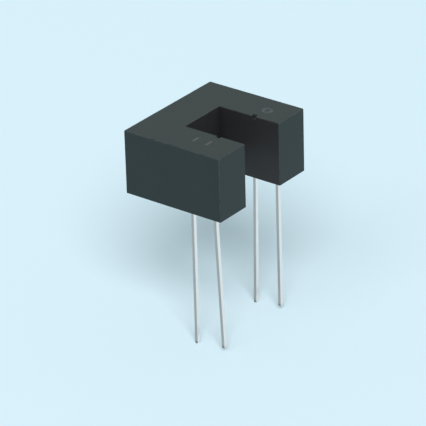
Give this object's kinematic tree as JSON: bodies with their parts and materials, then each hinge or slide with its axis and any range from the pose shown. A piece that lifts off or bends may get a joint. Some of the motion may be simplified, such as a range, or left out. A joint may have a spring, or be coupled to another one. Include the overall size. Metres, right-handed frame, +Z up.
{
  "type": "slotted optical switch",
  "caption": "Dark moulded block, U-shaped in plan, that senses an object passing through its slot; stamped metal leads go down from its arms into a circuit board.",
  "frame": {"origin": "On the seat plane where the housing meets the board, at the centre of the four leads, straight under the beam.", "axes": "+X points out of the slot mouth, +Y from the emitter arm to the sensor arm along the beam, +Z up from the board. The leads go down along -Z."},
  "size_m": [0.0106, 0.0126, 0.0204],
  "materials": {
    "housing_plastic": "fine matt moulded",
    "clear_resin": "clear moulded resin",
    "dark_resin": "dark moulded resin",
    "tinned_lead": "tin plate, dull on the rolled faces and bright on the sheared sides",
    "chip": "polished wafer",
    "silver_paste": "cured silver-filled paste",
    "gold_wire": "drawn gold"
  },
  "bodies": {
    "root": {"housing": "housing_plastic", "emitter_capsule": "clear_resin", "emitter_die_lead": "tinned_lead", "emitter_wire_lead": "tinned_lead", "emitter_chip": "chip", "emitter_paste": "silver_paste", "emitter_bond_wire": "gold_wire", "sensor_capsule": "dark_resin", "sensor_die_lead": "tinned_lead", "sensor_wire_lead": "tinned_lead", "sensor_chip": "chip", "sensor_paste": "silver_paste", "sensor_bond_wire": "gold_wire"}
  },
  "joints": []
}
